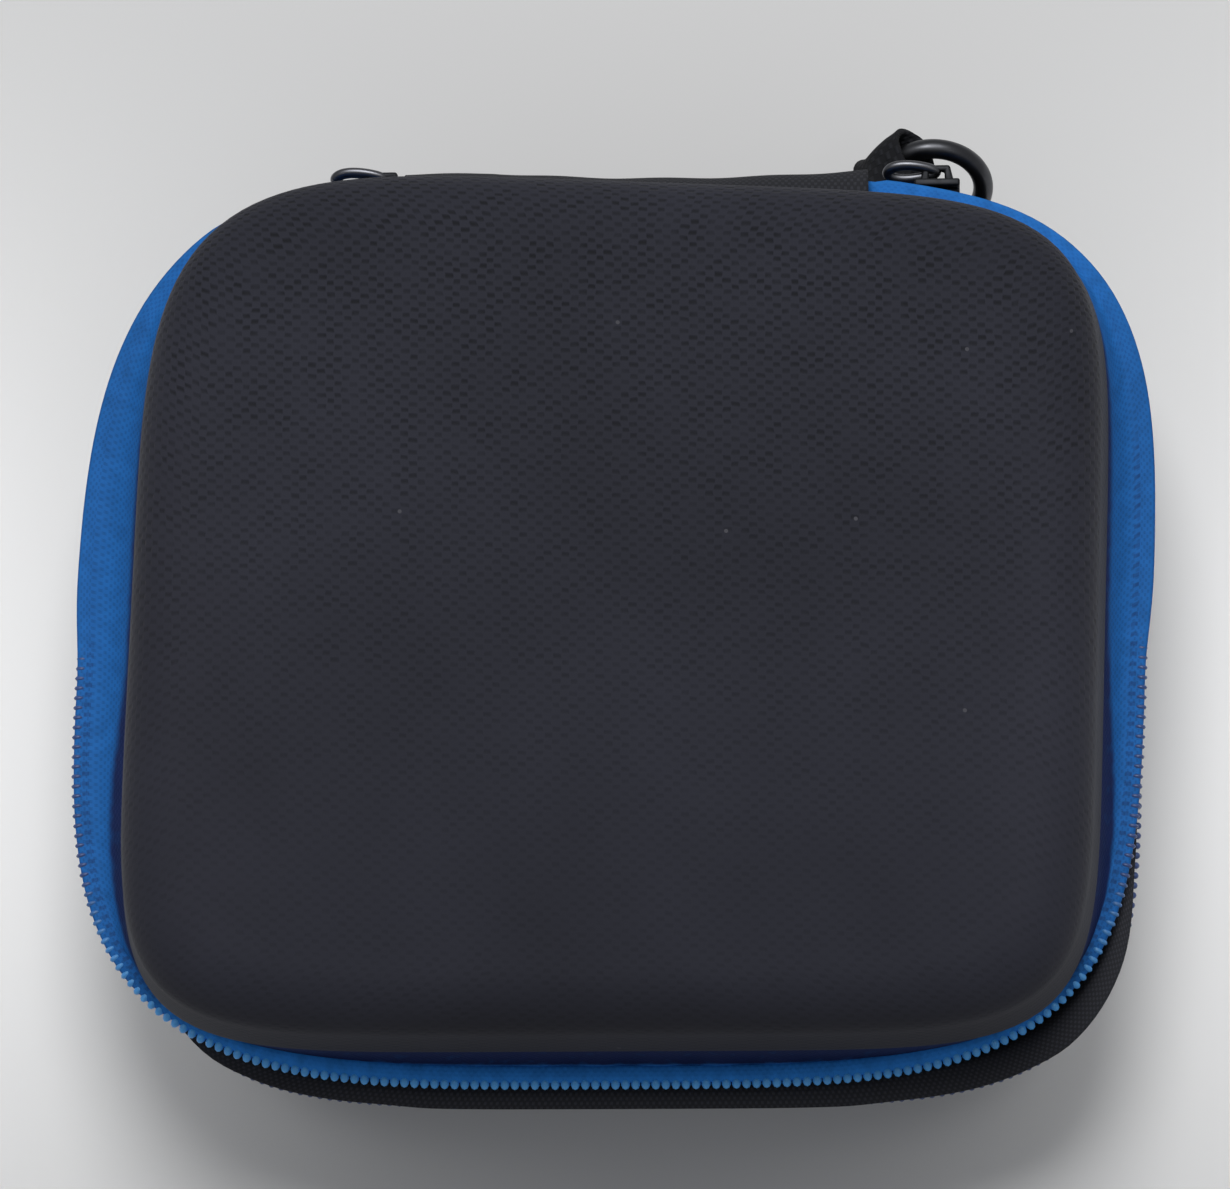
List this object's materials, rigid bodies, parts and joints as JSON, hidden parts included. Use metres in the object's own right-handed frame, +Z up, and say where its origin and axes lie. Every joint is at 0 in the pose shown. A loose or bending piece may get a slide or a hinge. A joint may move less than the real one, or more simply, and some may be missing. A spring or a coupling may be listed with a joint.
{
  "type": "hard carry case",
  "caption": "Moulded foam carry case with a blue coil zip, a cloth hinge, zip sliders with pulls and a metal ring in a webbing loop",
  "frame": {"origin": "middle of the base's underside", "axes": "+X to the right with the hinge at the back, +Y to the hinge, +Z up through the lid"},
  "size_m": [0.164, 0.1545, 0.0641],
  "materials": {
    "shell_cloth": "black woven cloth moulded over foam",
    "lining_cloth": "black brushed lining",
    "binding_cloth": "black ribbed binding",
    "zip_tape": "blue woven zip tape",
    "zip_coil": "blue nylon coil",
    "hinge_cloth": "black grosgrain",
    "thread": "black sewing thread",
    "webbing": "black webbing",
    "gunmetal": "dark polished plating",
    "net": "black knitted net",
    "elastic": "black woven elastic"
  },
  "bodies": {
    "base": {"base_shell": "shell_cloth", "base_zip_tape": "zip_tape", "base_lining": "lining_cloth", "base_binding": "binding_cloth", "base_zip_coil": "zip_coil", "hinge_base_panel": "hinge_cloth", "base_stitching": "thread", "ring_loop": "webbing"},
    "lid": {"lid_shell": "shell_cloth", "lid_zip_tape": "zip_tape", "lid_lining": "lining_cloth", "lid_binding": "binding_cloth", "lid_zip_coil": "zip_coil", "hinge_lid_panel": "hinge_cloth", "lid_stitching": "thread", "lid_pocket_net": "net", "lid_pocket_elastic": "elastic"},
    "slider_left": {"slider_left": "gunmetal"},
    "slider_right": {"slider_right": "gunmetal"},
    "pull_left": {"pull_left": "gunmetal"},
    "pull_right": {"pull_right": "gunmetal"},
    "ring": {"carry_ring": "gunmetal"}
  },
  "joints": [
    {"name": "lid_hinge", "type": "hinge", "parent": "base", "child": "lid", "pos_m": [0, 0.069, 0.0368], "axis": [-1, 0, 0], "range_deg": [0, 110]},
    {"name": "slider_left_slide", "type": "slide", "parent": "base", "child": "slider_left", "axis": [-1, 0, 0], "range_m": [0, 0.006]},
    {"name": "slider_right_slide", "type": "slide", "parent": "base", "child": "slider_right", "axis": [-1, 0, 0], "range_m": [0, 0.0065]},
    {"name": "pull_left_swing", "type": "hinge", "parent": "slider_left", "child": "pull_left", "pos_m": [-0.0393, 0.07065, 0.0339], "axis": [0, 0, -1], "range_deg": [0, 170]},
    {"name": "pull_right_swing", "type": "hinge", "parent": "slider_right", "child": "pull_right", "pos_m": [0.046, 0.07065, 0.0339], "axis": [0, 0, -1], "range_deg": [0, 170]},
    {"name": "ring_swing", "type": "hinge", "parent": "base", "child": "ring", "pos_m": [0.0391, 0.07562, 0.02253], "axis": [0.6157, 0.452, 0.6455], "range_deg": [0, 75]}
  ]
}
